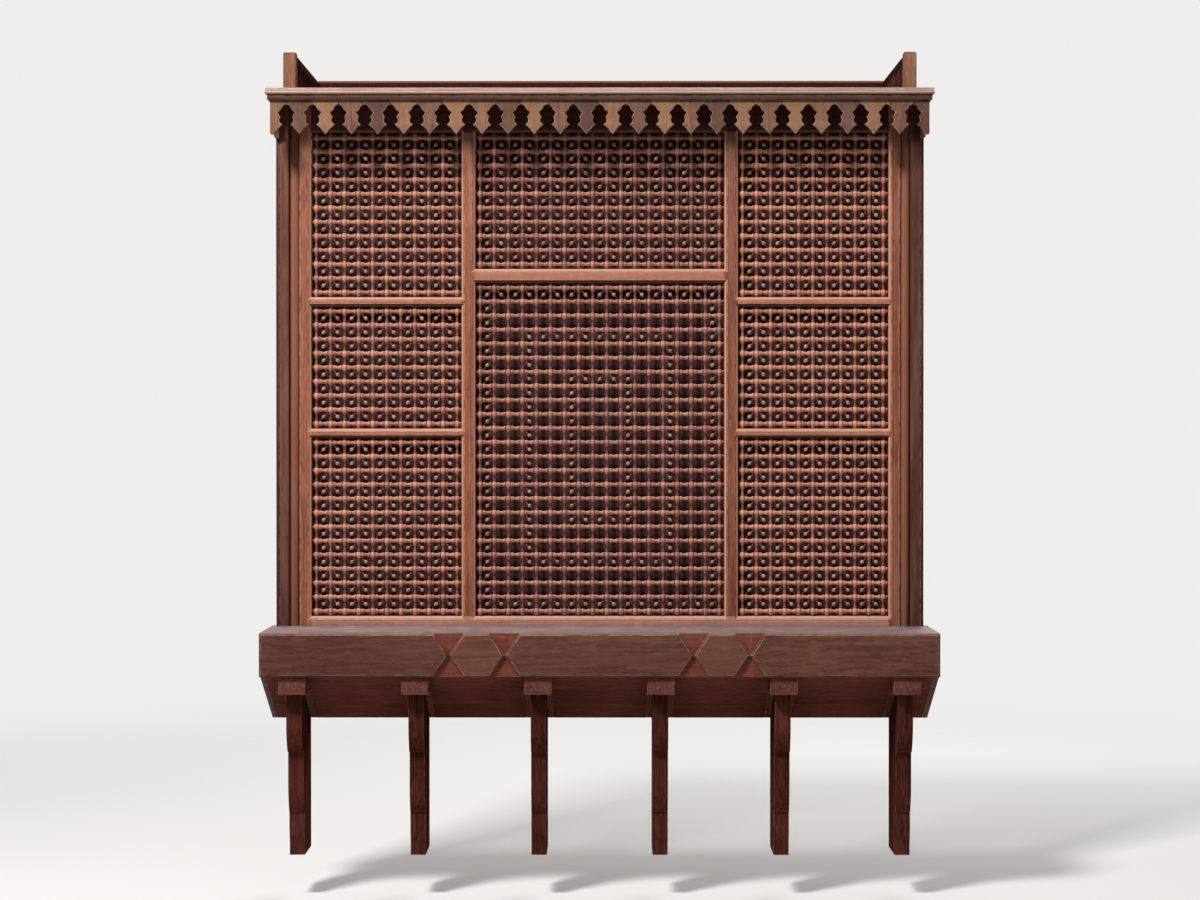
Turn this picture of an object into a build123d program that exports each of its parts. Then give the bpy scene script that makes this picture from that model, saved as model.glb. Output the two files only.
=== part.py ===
"""A wall-hung mashrabiya screen in hardwood.

Lattice panels stand in a frame on a deep shelf. Tapered joists and stepped brackets carry the
shelf, and a canopy with a cut-out valance and a guard rail with balusters finishes the top.
X runs along the wall, Y into the wall and Z up. The origin is the centre of the wall plate's
back face, and Y = 0 is the face of the wall that carries the screen.
"""

import os

from build123d import *

os.makedirs("parts", exist_ok=True)

# Driving dimensions in millimetres.

# Lattice panels, counted in cells between spindles.
lattice_pitch = 73
lattice_margin = 25  # from a frame member to the first spindle's axis
spindle_width = 22
spindle_depth = 30
lattice_setback = 20  # behind the frame's front face
side_columns = 10
centre_columns = 17
side_rows = (12, 8, 11)  # bottom, middle and top panel
centre_rows = (23, 9)  # bottom and top panel

# Frame of the screen.
frame_depth = 70
bottom_rail_height = 50
side_rail_height = 47
head_rail_height = 155
mullion_width = 70
stile_width = 60
opening_splay = 14  # bevel round every lattice opening, stopped at its corners
frame_arris = 3  # bevel on the stiles' outer edges

# Posts that close the frame's ends: a half-round bead beside a plain casing.
bead_width = 52
casing_width = 68
casing_depth = 85
casing_round = 12

# Shelf box.
end_overhang = 29  # shelf and canopy past the casings
shelf_depth = 590
shelf_thickness = 40
shelf_end_thickness = 30
fascia_height = 220
fascia_backing_thickness = 25
plank_thickness = 30
plank_bevel = 10
centre_plank_length = 948
lozenge_length = 280
plank_point = 73  # length of a plank's pointed end
plank_gap = 1
soffit_rise = 262  # fall of the soffit from the fascia to the wall
soffit_thickness = 22

# Joists, wall plate and brackets.
wall_plate_height = 160
wall_plate_depth = 60
joist_count = 6
joist_width = 137
joist_drop = 90  # joist ends below the fascia
outer_joist_inset = 162  # from the shelf's end to the outermost joist's axis
bracket_width = 78
bracket_height = 842
bracket_depth = 460
bracket_foot_depth = 300
bracket_steps = (306, 616, 777)  # heights of the steps, down from the top
bracket_step_depths = (400, 372, 330, 318)  # under and over the first two steps

# Canopy, cornice and valance.
canopy_depth = 335
canopy_thickness = 45
cornice_thickness = 25  # of its half-round, which stands out furthest
cornice_fillet_height = 15
cornice_fillet_thickness = 21
cornice_round = 9  # radius of the half-round under the fillet
cornice_foot_thickness = 13
cornice_foot_drop = 14  # below the canopy board, in front of the valance
valance_height = 186
valance_thickness = 25
valance_setback = 5  # behind the canopy board's edge
valance_pitch = 133
valance_joint = 3  # between neighbouring boards
keyhole_top = 36  # down from the valance's top edge
keyhole_shoulder = 62
keyhole_shoulder_half_width = 26
keyhole_head_radius = 32
keyhole_ear = 77
keyhole_ear_half_width = 45
keyhole_waist = 101
keyhole_waist_half_width = 30
keyhole_belly = 11
keyhole_neck = 138
keyhole_neck_half_width = 20
tooth_tip_width = 6
tooth_bulge = 3

# Corner posts, guard rail and balusters over the canopy.
corner_post_size = 66
corner_post_setback = 5  # behind the casings' front faces
corner_post_arris = 5
crown_height = 215
crown_axis_inset = 71  # from the casings' outer faces to the rails' axis
crown_length = 1200  # from the corner posts back to the recessed wall
crown_rail_width = 43
crown_rail_height = 38
crown_sill_height = 40
crown_rail_round = 8
baluster_size = 40
baluster_pitch = 108
baluster_arris = 3


def panel_length(cells):
    """Clear length of a lattice panel with so many cells."""
    return cells * lattice_pitch + 2 * lattice_margin


# Stations along X, from the centre out.
centre_half = panel_length(centre_columns) / 2
side_inner = centre_half + mullion_width
side_axis = side_inner + panel_length(side_columns) / 2
stile_inner = side_inner + panel_length(side_columns)
bead_inner = stile_inner + stile_width
casing_inner = bead_inner + bead_width
casing_outer = casing_inner + casing_width
shelf_half = casing_outer + end_overhang
canopy_half = shelf_half - cornice_thickness
crown_axis = casing_outer - crown_axis_inset

# Levels along Z, from the bottom up.
shelf_top = wall_plate_height / 2 + shelf_thickness
shelf_under = shelf_top - shelf_thickness
fascia_bottom = shelf_top - fascia_height
soffit_end = fascia_bottom - soffit_rise
joist_bottom = fascia_bottom - joist_drop
opening_bottom = shelf_top + bottom_rail_height
opening_height = sum(panel_length(rows) for rows in side_rows) + 2 * side_rail_height
opening_top = opening_bottom + opening_height
transom_height = opening_height - sum(panel_length(rows) for rows in centre_rows)
canopy_under = opening_top + head_rail_height
canopy_top = canopy_under + canopy_thickness
crown_top = canopy_top + crown_height

# Depths, measured forward from the wall.
backing_front = shelf_depth - plank_thickness
shelf_front = backing_front - fascia_backing_thickness
canopy_front = canopy_depth - cornice_thickness
valance_front_face = canopy_front - valance_setback
valance_back_face = valance_front_face - valance_thickness
corner_post_axis = casing_depth - corner_post_size / 2 - corner_post_setback

soffit_slope = soffit_rise / shelf_front
joist_knee = shelf_front - joist_drop / soffit_slope  # where the underside starts to fall
joist_pitch = 2 * (shelf_half - outer_joist_inset) / (joist_count - 1)
joist_axes = [(n - (joist_count - 1) / 2) * joist_pitch for n in range(joist_count)]


# Lattice panels: node, axis in X, bottom edge, columns and rows. Three stand in each side bay,
# with a rail over each but the top one, and two in the centre bay, with the transom between.
panels = []
side_rails = []
for side, name in ((-1, "left"), (1, "right")):
    level = opening_bottom
    for rows, place, rail_over in zip(side_rows, ("bottom", "middle", "top"), ("lower", "upper", "")):
        panels.append((f"lattice_{name}_{place}", side * side_axis, level, side_columns, rows))
        level += panel_length(rows)
        if rail_over:
            side_rails.append((f"rail_{name}_{rail_over}", side, level))
            level += side_rail_height
transom_bottom = opening_bottom + panel_length(centre_rows[0])
panels.append(("lattice_centre_bottom", 0, opening_bottom, centre_columns, centre_rows[0]))
panels.append(
    ("lattice_centre_top", 0, transom_bottom + transom_height, centre_columns, centre_rows[1])
)


def save(part, node):
    """Name a finished piece and write it."""
    part.label = node
    export_step(part, f"parts/{node}.step")


def block(x, forward, z):
    """A plain block between two stations in X, two depths forward of the wall and two levels."""
    with Locations(((x[0] + x[1]) / 2, -(forward[0] + forward[1]) / 2, (z[0] + z[1]) / 2)):
        Box(abs(x[1] - x[0]), abs(forward[1] - forward[0]), abs(z[1] - z[0]))


def splay_openings():
    """Bevel the frame member being built where it borders a lattice opening."""
    for _, x, bottom, columns, rows in panels:
        width, height = panel_length(columns), panel_length(rows)
        with BuildSketch(Plane.XZ.offset(frame_depth)) as mouth:
            with Locations((x, bottom + height / 2)):
                Rectangle(width + 2 * opening_splay, height + 2 * opening_splay)
        extrude(mouth.sketch, amount=-opening_splay, taper=45, mode=Mode.SUBTRACT)


# Wall plate: the ledger that hangs the shelf on the wall.
with BuildPart() as wall_plate:
    plate_half = shelf_half - shelf_end_thickness
    block((-plate_half, plate_half), (0, wall_plate_depth), (-wall_plate_height / 2, shelf_under))
save(wall_plate.part, "wall_plate")

# Shelf board, on the joists and the wall plate.
with BuildPart() as shelf_board:
    block((-shelf_half, shelf_half), (0, shelf_front), (shelf_under, shelf_top))
save(shelf_board.part, "shelf_board")

# Backing board of the fascia, seen between the planks' points.
with BuildPart() as fascia_backing:
    block((-shelf_half, shelf_half), (shelf_front, backing_front), (fascia_bottom, shelf_top))
save(fascia_backing.part, "fascia_backing")


def pointed_plank(start, end):
    """Outline of a fascia plank that comes to a point at both ends."""
    middle = (shelf_top + fascia_bottom) / 2
    corners = [
        (start, middle),
        (start + plank_point, shelf_top),
        (end - plank_point, shelf_top),
        (end, middle),
        (end - plank_point, fascia_bottom),
        (start + plank_point, fascia_bottom),
    ]
    Polygon(*corners, align=None)


def square_plank(start, end):
    """Outline of an outer fascia plank: square at its outer end, pointed at its inner one."""
    middle = (shelf_top + fascia_bottom) / 2
    shoulder = end + plank_point if end < start else end - plank_point
    corners = [
        (start, shelf_top),
        (shoulder, shelf_top),
        (end, middle),
        (shoulder, fascia_bottom),
        (start, fascia_bottom),
    ]
    Polygon(*corners, align=None)


# Fascia planks: raised and bevelled, meeting point to point beside each lozenge.
with BuildPart() as fascia_planks:
    inner = centre_plank_length / 2
    outer = inner + lozenge_length
    tip = plank_gap / 2
    with BuildSketch(Plane.XZ.offset(backing_front)):
        pointed_plank(-inner + tip, inner - tip)
        pointed_plank(inner + tip, outer - tip)
        pointed_plank(-outer + tip, -inner - tip)
        square_plank(-shelf_half, -outer - tip)
        square_plank(shelf_half, outer + tip)
    extrude(amount=plank_thickness)
    fronts = fascia_planks.faces().filter_by(Axis.Y).group_by(Axis.Y)[0]
    chamfer(fronts.edges(), length=plank_bevel)
save(fascia_planks.part, "fascia_planks")

# End boards of the shelf box, cut along the soffit's slope.
for side, name in ((-1, "left"), (1, "right")):
    with BuildPart() as shelf_end:
        board_start = side * (shelf_half - shelf_end_thickness)
        with BuildSketch(Plane.YZ.offset(board_start)):
            Polygon(
                (-shelf_front, shelf_under),
                (-shelf_front, fascia_bottom),
                (0, soffit_end),
                (0, shelf_under),
                align=None,
            )
        extrude(amount=side * shelf_end_thickness)
    save(shelf_end.part, f"shelf_end_{name}")

# Soffit boards, one between each pair of neighbouring joists and one at each end.
with BuildPart() as soffit_boards:
    joist_sides = [x + side * joist_width / 2 for x in joist_axes for side in (-1, 1)]
    bays = [-plate_half, *joist_sides, plate_half]
    for bay_start, bay_end in zip(bays[::2], bays[1::2]):
        with BuildSketch(Plane.YZ.offset(bay_start)):
            Polygon(
                (-shelf_front, fascia_bottom),
                (0, soffit_end),
                (0, soffit_end + soffit_thickness),
                (-shelf_front, fascia_bottom + soffit_thickness),
                align=None,
            )
        extrude(amount=bay_end - bay_start)
save(soffit_boards.part, "soffit_boards")

# Joists: cantilevers that lap under the fascia, notched over the wall plate.
for number, x in enumerate(joist_axes, 1):
    with BuildPart() as joist:
        with BuildSketch(Plane.YZ.offset(x)):
            Polygon(
                (-backing_front, fascia_bottom),
                (-backing_front, joist_bottom),
                (-joist_knee, joist_bottom),
                (0, soffit_end),
                (0, -wall_plate_height / 2),
                (-wall_plate_depth, -wall_plate_height / 2),
                (-wall_plate_depth, shelf_under),
                (-shelf_front, shelf_under),
                (-shelf_front, fascia_bottom),
                align=None,
            )
        extrude(amount=joist_width / 2, both=True)
    save(joist.part, f"joist_{number}")


# Brackets: three stepped tiers, each rolling under to the next, with their backs on the wall.
under_first, over_second, under_second, over_third = bracket_step_depths
first_step, second_step, third_step = (joist_bottom - step for step in bracket_steps)
bracket_foot = joist_bottom - bracket_height
tiers = [
    ((bracket_depth, joist_bottom), (under_first, first_step)),
    ((over_second, first_step), (under_second, second_step)),
    ((over_third, second_step), (bracket_foot_depth, third_step)),
]
for number, x in enumerate(joist_axes, 1):
    with BuildPart() as bracket:
        with BuildSketch(Plane.YZ.offset(x)):
            with BuildLine():
                Polyline(
                    (-bracket_foot_depth, third_step),
                    (-bracket_foot_depth, bracket_foot),
                    (0, bracket_foot),
                    (0, soffit_end),
                    (-joist_knee, joist_bottom),
                    (-bracket_depth, joist_bottom),
                )
                for (upper_depth, upper), (lower_depth, lower) in tiers:
                    turn = (upper + lower) / 2  # the tier's face is plumb down to here
                    Line((-upper_depth, upper), (-upper_depth, turn))
                    TangentArc((-upper_depth, turn), (-lower_depth, lower), tangent=(0, -1))
                for (_, (depth_over, level)), ((depth_under, _), _) in zip(tiers, tiers[1:]):
                    Line((-depth_over, level), (-depth_under, level))
            make_face()
        extrude(amount=bracket_width / 2, both=True)
    save(bracket.part, f"bracket_{number}")

# Bottom rail and head rail, between the stiles.
with BuildPart() as bottom_rail:
    block((-stile_inner, stile_inner), (0, frame_depth), (shelf_top, opening_bottom))
    splay_openings()
save(bottom_rail.part, "bottom_rail")

with BuildPart() as head_rail:
    block((-stile_inner, stile_inner), (0, frame_depth), (opening_top, canopy_under))
    splay_openings()
save(head_rail.part, "head_rail")

# Stiles, mullions and the moulded posts outside them.
for side, name in ((-1, "left"), (1, "right")):
    with BuildPart() as stile:
        block(
            (side * stile_inner, side * bead_inner), (0, frame_depth), (shelf_top, canopy_under)
        )
        front = stile.faces().sort_by(Axis.Y)[0]
        outer_edge = front.edges().filter_by(Axis.Z).sort_by(Axis.X, reverse=side > 0)[0]
        chamfer(outer_edge, length=frame_arris)
        splay_openings()
    save(stile.part, f"stile_{name}")

    with BuildPart() as mullion:
        block(
            (side * centre_half, side * side_inner), (0, frame_depth), (opening_bottom, opening_top)
        )
        splay_openings()
    save(mullion.part, f"mullion_{name}")

    with BuildPart() as post:
        bead_radius = bead_width / 2
        bead_axis = side * (bead_inner + bead_radius)
        with BuildSketch(Plane.XY.offset(shelf_top)):
            with Locations((side * (casing_inner + casing_outer) / 2, -casing_depth / 2)):
                casing = Rectangle(casing_width, casing_depth)
            front_corners = casing.vertices().group_by(Axis.Y)[0]
            fillet(front_corners, radius=casing_round)
            with Locations((bead_axis, -(frame_depth - bead_radius) / 2)):
                Rectangle(bead_width, frame_depth - bead_radius)
            with Locations((bead_axis, -(frame_depth - bead_radius))):
                Circle(bead_radius)
        extrude(amount=canopy_under - shelf_top)
    save(post.part, f"post_{name}")

# Rails across the side bays, and the transom across the centre bay.
for node, side, level in side_rails:
    with BuildPart() as side_rail:
        block(
            (side * side_inner, side * stile_inner),
            (0, frame_depth),
            (level, level + side_rail_height),
        )
        splay_openings()
    save(side_rail.part, node)

with BuildPart() as transom:
    block(
        (-centre_half, centre_half),
        (0, frame_depth),
        (transom_bottom, transom_bottom + transom_height),
    )
    splay_openings()
save(transom.part, "transom")

# Lattice panels: spindles that cross in one plane, fused at every crossing, their ends on the frame.
lattice_back = frame_depth - lattice_setback - spindle_depth
for node, x, bottom, columns, rows in panels:
    with BuildPart() as lattice:
        width, height = panel_length(columns), panel_length(rows)
        with BuildSketch(Plane.XZ.offset(lattice_back)):
            with Locations((x, bottom + height / 2)):
                with GridLocations(lattice_pitch, 0, columns + 1, 1):
                    Rectangle(spindle_width, height)
                with GridLocations(0, lattice_pitch, 1, rows + 1):
                    Rectangle(width, spindle_width)
        extrude(amount=spindle_depth)
    save(lattice.part, node)

# Canopy board, on the head rail and the posts.
with BuildPart() as canopy_board:
    block((-canopy_half, canopy_half), (0, canopy_front), (canopy_under, canopy_top))
save(canopy_board.part, "canopy_board")


# Cornice: a fillet over a half-round over a foot, mitred round the front and both ends.
with BuildPart() as cornice_moulding:
    with BuildLine():
        lap = Polyline(
            (-canopy_half, 0, canopy_under),
            (-canopy_half, -canopy_front, canopy_under),
            (canopy_half, -canopy_front, canopy_under),
            (canopy_half, 0, canopy_under),
        )
    end_plane = Plane((-canopy_half, 0, canopy_under), x_dir=(-1, 0, 0), z_dir=(0, 1, 0))
    with BuildSketch(end_plane):
        with BuildLine():
            fillet_bottom = canopy_thickness - cornice_fillet_height
            foot_top = fillet_bottom - 2 * cornice_round
            round_axis = cornice_thickness - cornice_round
            ThreePointArc(
                (round_axis, foot_top),
                (cornice_thickness, foot_top + cornice_round),
                (round_axis, fillet_bottom),
            )
            Polyline(
                (round_axis, fillet_bottom),
                (cornice_fillet_thickness, fillet_bottom),
                (cornice_fillet_thickness, canopy_thickness),
                (0, canopy_thickness),
                (0, -cornice_foot_drop),
                (cornice_foot_thickness, -cornice_foot_drop),
                (cornice_foot_thickness, foot_top),
                (round_axis, foot_top),
            )
        make_face()
    sweep(path=lap, transition=Transition.RIGHT)
save(cornice_moulding.part, "cornice_moulding")

# One keyhole of the valance, seen from the front and measured down from the top edge.
with BuildSketch() as keyhole:
    with BuildLine() as half_outline:
        head = RadiusArc(
            (0, -keyhole_top), (keyhole_shoulder_half_width, -keyhole_shoulder), keyhole_head_radius
        )
        Polyline(
            head @ 1,
            (keyhole_ear_half_width, -keyhole_ear),
            (keyhole_waist_half_width, -keyhole_waist),
        )
        SagittaArc(
            (keyhole_waist_half_width, -keyhole_waist),
            (keyhole_neck_half_width, -keyhole_neck),
            keyhole_belly,
        )
        flare = SagittaArc(
            (keyhole_neck_half_width, -keyhole_neck),
            ((valance_pitch - tooth_tip_width) / 2, -valance_height),
            tooth_bulge,
        )
        Polyline(flare @ 1, (0, -valance_height), (0, -keyhole_top))
    make_face()
    mirror(about=Plane.YZ)


def valance_boards(centre, length, openings):
    """Boards hung side by side, with a keyhole cut across every joint between two boards."""
    with Locations((centre, canopy_under)):
        with Locations((0, -valance_height / 2)):
            Rectangle(length, valance_height)
        with GridLocations(valance_pitch, 0, openings, 1):
            add(keyhole.sketch, mode=Mode.SUBTRACT)
            with Locations((0, -keyhole_top / 2)):
                Rectangle(valance_joint, keyhole_top + valance_joint, mode=Mode.SUBTRACT)


# Valance across the front.
with BuildPart() as valance_front:
    openings = 2 * int((canopy_half - valance_pitch / 2) / valance_pitch) + 1
    with BuildSketch(Plane.XZ.offset(valance_back_face)):
        valance_boards(0, 2 * canopy_half, openings)
    extrude(amount=valance_thickness)
save(valance_front.part, "valance_front")

# Valance returns, from the front boards back to the casings.
for side, name in ((-1, "left"), (1, "right")):
    with BuildPart() as valance_return:
        return_length = valance_back_face - casing_depth
        return_centre = -(valance_back_face + casing_depth) / 2
        openings = int(return_length / valance_pitch)
        with BuildSketch(Plane.YZ.offset(side * canopy_half)):
            valance_boards(return_centre, return_length, openings)
        extrude(amount=-side * valance_thickness)
    save(valance_return.part, f"valance_{name}")

# Corner posts over the canopy, and the guard rails that run back to the recessed wall.
post_back = corner_post_axis - corner_post_size / 2
crown_back = post_back - crown_length
sill_top = canopy_top + crown_sill_height
rail_under = crown_top - crown_rail_height
for side, name in ((-1, "left"), (1, "right")):
    with BuildPart() as corner_post:
        with Locations((side * crown_axis, -corner_post_axis, canopy_top)):
            Box(
                corner_post_size,
                corner_post_size,
                crown_height,
                align=(Align.CENTER, Align.CENTER, Align.MIN),
            )
        chamfer(corner_post.faces().sort_by(Axis.Z)[-1].edges(), length=corner_post_arris)
    save(corner_post.part, f"corner_post_{name}")

    rail_sides = (
        side * crown_axis - crown_rail_width / 2,
        side * crown_axis + crown_rail_width / 2,
    )
    with BuildPart() as crown_sill:
        block(rail_sides, (post_back, crown_back), (canopy_top, sill_top))
    save(crown_sill.part, f"crown_sill_{name}")

    with BuildPart() as crown_rail:
        block(rail_sides, (post_back, crown_back), (rail_under, crown_top))
        rail_arrises = crown_rail.edges().filter_by(Axis.Y).group_by(Axis.Z)[-1]
        fillet(rail_arrises, radius=crown_rail_round)
    save(crown_rail.part, f"crown_rail_{name}")

    with BuildPart() as balusters:
        baluster_count = int(crown_length / baluster_pitch)
        row_centre = -(post_back + crown_back) / 2
        with Locations((side * crown_axis, row_centre, sill_top)):
            with GridLocations(0, baluster_pitch, 1, baluster_count):
                Box(
                    baluster_size,
                    baluster_size,
                    rail_under - sill_top,
                    align=(Align.CENTER, Align.CENTER, Align.MIN),
                )
        chamfer(balusters.edges().filter_by(Axis.Z), length=baluster_arris)
    save(balusters.part, f"balusters_{name}")

# Back rail, along the recessed wall between the side rails.
with BuildPart() as crown_rail_back:
    back_half = crown_axis - crown_rail_width / 2
    block((-back_half, back_half), (crown_back + crown_rail_width, crown_back), (rail_under, crown_top))
save(crown_rail_back.part, "crown_rail_back")
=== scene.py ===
"""The looks of a wall-hung lattice screen in hardwood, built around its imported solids.

Turned lattice panels stand in a moulded frame on a deep boarded shelf. Joists and stepped
brackets carry the shelf, and a canopy with a cut-out valance and a guard rail closes the top.
Every length is in metres. X runs along the wall, Y into the wall and Z up.
"""

import logging
import math
import random
from collections.abc import Callable, Iterator
from contextlib import contextmanager
from dataclasses import dataclass, field, replace
from enum import Enum
from functools import cache

import bmesh
import bpy
import numpy as np
from bpy.types import Camera, Light, Material, Node, NodeOutputs, NodeSocket, NodeTree
from bpy.types import Object, World
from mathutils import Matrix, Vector


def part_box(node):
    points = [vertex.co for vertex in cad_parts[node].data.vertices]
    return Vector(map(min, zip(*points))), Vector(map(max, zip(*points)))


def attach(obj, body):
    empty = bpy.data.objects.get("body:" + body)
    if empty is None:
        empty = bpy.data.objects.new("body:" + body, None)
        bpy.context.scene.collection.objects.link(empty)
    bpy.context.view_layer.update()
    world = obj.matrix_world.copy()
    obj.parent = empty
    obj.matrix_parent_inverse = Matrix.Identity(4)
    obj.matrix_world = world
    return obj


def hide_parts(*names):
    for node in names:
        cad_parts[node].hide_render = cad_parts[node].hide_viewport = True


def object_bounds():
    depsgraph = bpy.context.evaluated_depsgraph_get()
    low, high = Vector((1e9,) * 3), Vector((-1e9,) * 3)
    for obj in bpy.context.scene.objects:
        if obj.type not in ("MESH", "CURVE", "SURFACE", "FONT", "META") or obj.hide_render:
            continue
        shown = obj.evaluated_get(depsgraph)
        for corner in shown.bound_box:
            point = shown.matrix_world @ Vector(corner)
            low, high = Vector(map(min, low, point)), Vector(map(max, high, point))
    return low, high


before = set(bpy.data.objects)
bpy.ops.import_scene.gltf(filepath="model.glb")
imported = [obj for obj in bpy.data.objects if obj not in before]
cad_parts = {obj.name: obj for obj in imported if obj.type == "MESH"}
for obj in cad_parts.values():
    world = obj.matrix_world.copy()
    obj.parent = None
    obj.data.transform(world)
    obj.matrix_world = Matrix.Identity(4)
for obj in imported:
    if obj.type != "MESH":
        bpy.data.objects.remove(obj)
solid_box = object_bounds()

log = logging.getLogger("screen")
Colour = tuple[float, float, float, float]  # linear, as a node takes it
Swatch = tuple[int, int, int]  # red, green and blue as a screen shows them, from 0 to 255
Span = tuple[float, float]  # a lowest and a highest value
Stations = tuple[tuple[float, float], ...]  # places along an axis, and the radius at each

BODY = "root"
WELD = 0.00001  # vertices closer than this are one
FLAT = math.radians(0.5)  # faces closer to one plane than this are one face
SHARP = math.radians(32)  # edges that turn more than this are arrises
GOLDEN_SHARE = 0.618  # steps of this keep numbers that follow each other well apart
LEAST_SLANT, MOST_SLANT = 0.5, 0.9  # how far the normal of a splayed face runs along an axis
ALL_TONES: Span = (0.0, 1.0)
LEFTWARD, RIGHTWARD = Vector((-1, 0, 0)), Vector((1, 0, 0))
DOWNWARD, UPWARD = Vector((0, 0, -1)), Vector((0, 0, 1))


class Side(Enum):
    """An end of the screen, seen from the front."""

    LEFT = "left"
    RIGHT = "right"


def paint(swatch: Swatch) -> Colour:
    """Turn a colour as a screen shows it into the linear one that a node takes.

    Args:
        swatch: The colour as a screen shows it.

    Returns:
        The linear colour, opaque.
    """
    shares = (channel / 255 for channel in swatch)
    linear = [s / 12.92 if s <= 0.04045 else ((s + 0.055) / 1.055) ** 2.4 for s in shares]
    return (linear[0], linear[1], linear[2], 1.0)


def deselect() -> None:
    """Leave nothing selected, because an operator acts on all that is."""
    bpy.ops.object.select_all(action="DESELECT")


def select_only(piece: Object) -> None:
    """Make one piece the only selected one, and the active one.

    Args:
        piece: The piece to select.
    """
    deselect()
    piece.select_set(True)
    bpy.context.view_layer.objects.active = piece


@contextmanager
def edit_mode(piece: Object) -> Iterator[None]:
    """Open a piece in edit mode with all of it selected, and close it afterwards.

    Args:
        piece: The piece to shape.

    Yields:
        Nothing, for as long as the piece is open.
    """
    select_only(piece)
    bpy.ops.object.mode_set(mode="EDIT")
    bpy.ops.mesh.select_all(action="SELECT")
    yield
    bpy.ops.object.mode_set(mode="OBJECT")


def choose_edges(piece: Object, wanted: Callable[[bmesh.types.BMEdge], bool]) -> None:
    """Select the edges that a test picks, on a piece that is in edit mode.

    Args:
        piece: The piece in edit mode.
        wanted: Says whether an edge is to be selected.
    """
    bpy.ops.mesh.select_mode(type="EDGE")
    bpy.ops.mesh.select_all(action="DESELECT")
    mesh = bmesh.from_edit_mesh(piece.data)
    for edge in mesh.edges:
        edge.select_set(wanted(edge))
    bmesh.update_edit_mesh(piece.data)


def own_copy(piece: Object, name: str) -> Object:
    """Copy a piece with a mesh of its own.

    Args:
        piece: The piece to copy.
        name: The copy's name.

    Returns:
        The copy, at the same place.
    """
    copy = bpy.data.objects.new(name, piece.data.copy())
    bpy.context.scene.collection.objects.link(copy)
    return copy


def settle(piece: Object) -> None:
    """Put a piece's place and turn into its mesh, so that its object stands at the origin."""
    select_only(piece)
    bpy.ops.object.transform_apply(location=True, rotation=True, scale=True)


def flat_disc(name: str, sides: int, radius: float, height: float) -> Object:
    """Make a level disc round the upright axis.

    Args:
        name: The disc's name.
        sides: How many edges stand for the round.
        radius: From the axis to a corner.
        height: How high it lies.

    Returns:
        The disc, as one face that faces up.
    """
    deselect()
    bpy.ops.mesh.primitive_circle_add(
        vertices=sides, radius=radius, fill_type="NGON", location=(0, 0, height)
    )
    disc = bpy.context.object
    disc.name = name
    settle(disc)
    return disc


def upright_sheet(name: str, centre: Vector, width: float, height: float) -> Object:
    """Make a sheet that stands along the wall and faces the front.

    Args:
        name: The sheet's name.
        centre: Its middle.
        width: Its size along the wall.
        height: Its size up.

    Returns:
        The sheet, as one face.
    """
    deselect()
    bpy.ops.mesh.primitive_plane_add(size=1, location=centre, rotation=(math.pi / 2, 0, 0))
    sheet = bpy.context.object
    sheet.name = name
    settle(sheet)
    with edit_mode(sheet):
        bpy.ops.transform.resize(value=(width, 1, height), center_override=centre)
    return sheet


def join(name: str, pieces: list[Object]) -> Object:
    """Join pieces into one object.

    Args:
        name: The name of the joined object.
        pieces: The pieces, which the joined object takes the place of.

    Returns:
        The joined object.
    """
    deselect()
    for piece in pieces:
        piece.select_set(True)
    bpy.context.view_layer.objects.active = pieces[0]
    if len(pieces) > 1:
        bpy.ops.object.join()
    pieces[0].name = name
    return pieces[0]


def repeat(piece: Object, step: tuple[float, float, float], count: int) -> None:
    """Repeat a piece in a straight row.

    Args:
        piece: The piece, which becomes the whole row.
        step: The way from one copy to the next.
        count: How many copies the row has.
    """
    row = piece.modifiers.new("row", "ARRAY")
    row.use_relative_offset = False
    row.use_constant_offset = True
    row.constant_offset_displace = step
    row.count = count
    select_only(piece)
    bpy.ops.object.modifier_apply(modifier=row.name)


def mark(piece: Object, name: str, values: np.ndarray) -> None:
    """Write one number for each face of a piece into an attribute that the finishes read.

    Args:
        piece: The piece to mark.
        name: The attribute's name.
        values: One number for each face.
    """
    attribute = piece.data.attributes.new(name, "FLOAT", "FACE")
    attribute.data.foreach_set("value", values.astype(np.float32))


def mark_boards(
    piece: Object, chance: random.Random, boards: int = 1, tones: Span = ALL_TONES
) -> None:
    """Give each board of a piece its own number from 0 to 1, for its tone and figure.

    Args:
        piece: A piece of like boards, whose faces follow each other board by board.
        chance: The seeded source of the numbers.
        boards: How many boards the piece has.
        tones: The lowest and the highest number that a board gets.
    """
    numbers = [chance.uniform(*tones) for _ in range(boards)]
    mark(piece, "board", np.repeat(numbers, len(piece.data.polygons) // boards))


def mark_loose_boards(piece: Object, chance: random.Random, tones: Span = ALL_TONES) -> Object:
    """Give each loose part of a piece its own number, so that neighbours differ well.

    Args:
        piece: A piece made of separate boards.
        chance: The seeded source of the first number.
        tones: The lowest and the highest number that a board gets.

    Returns:
        The same boards, joined again.
    """
    name = piece.name
    select_only(piece)
    bpy.ops.mesh.separate(type="LOOSE")
    boards = list(bpy.context.selected_objects)
    boards.sort(key=lambda board: min(vertex.co.x for vertex in board.data.vertices))
    first = chance.random()
    lowest, highest = tones
    for number_in_row, board in enumerate(boards):
        share = (first + number_in_row * GOLDEN_SHARE) % 1
        tone = lowest + share * (highest - lowest)
        mark_boards(board, chance, tones=(tone, tone))
    return join(name, boards)


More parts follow.
